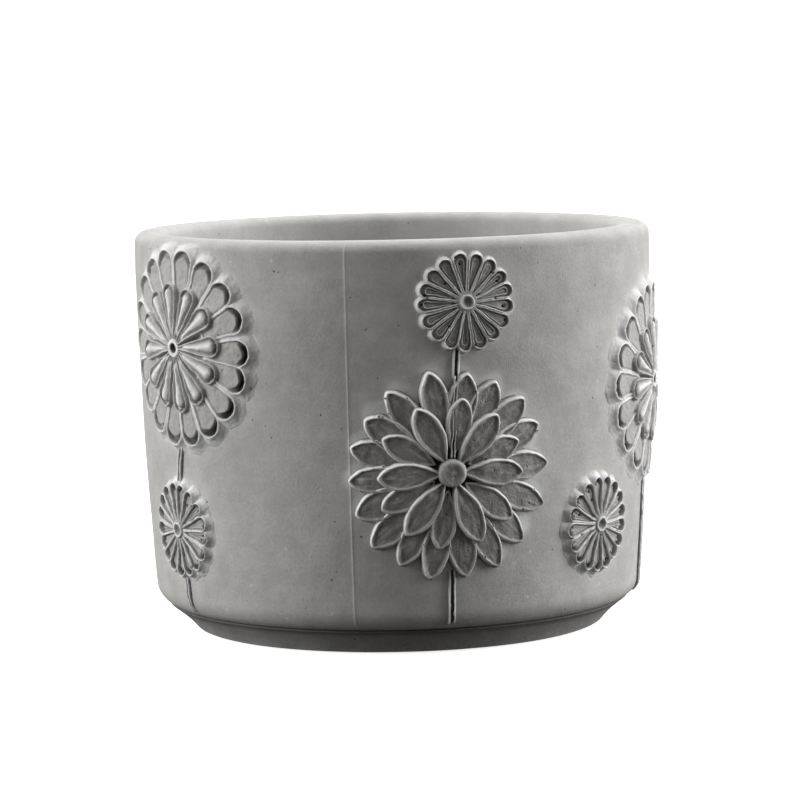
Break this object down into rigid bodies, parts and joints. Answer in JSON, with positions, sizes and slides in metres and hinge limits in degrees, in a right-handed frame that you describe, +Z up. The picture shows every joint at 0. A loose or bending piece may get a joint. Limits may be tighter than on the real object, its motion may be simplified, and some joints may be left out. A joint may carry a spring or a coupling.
{
  "type": "flower pot",
  "caption": "Round cast-cement flower pot with raised flowers round its wall, a recessed foot, and a plug and screen over its drain hole.",
  "frame": {"origin": "centre of the base, on the surface that the pot stands on", "axes": "+Z up along the axis of the pot, -Y towards the front, where a large flower stands under a small one, +X to the right seen from the front"},
  "size_m": [0.1524, 0.1535, 0.116],
  "materials": {
    "cement": "cast cement, fine grained, matt",
    "relief_cement": "cast cement, matt, paler and dusty on its raised edges",
    "foot_pads": "soft foam rubber, matt",
    "drain_screen": "moulded plastic, matt",
    "drain_plug": "moulded rubber, satin"
  },
  "bodies": {
    "pot": {"pot_body": "cement", "foot_ring": "cement", "foot_pads": "foot_pads", "large_flower_front": "relief_cement", "large_flower_right": "relief_cement", "large_flower_rear_right": "relief_cement", "large_flower_rear_left": "relief_cement", "large_flower_left": "relief_cement", "small_flower_front": "relief_cement", "small_flower_right": "relief_cement", "small_flower_rear_right": "relief_cement", "small_flower_rear_left": "relief_cement", "small_flower_left": "relief_cement", "stem_front": "relief_cement", "stem_right": "relief_cement", "stem_rear_right": "relief_cement", "stem_rear_left": "relief_cement", "stem_left": "relief_cement"},
    "screen": {"drain_screen": "drain_screen"},
    "plug": {"drain_plug": "drain_plug"}
  },
  "joints": [
    {"name": "screen_lift", "type": "slide", "parent": "pot", "child": "screen", "axis": [0, 0, 1], "range_m": [0, 0.11]},
    {"name": "plug_pull", "type": "slide", "parent": "screen", "child": "plug", "axis": [0, 0, 1], "range_m": [0, 0.12]}
  ]
}
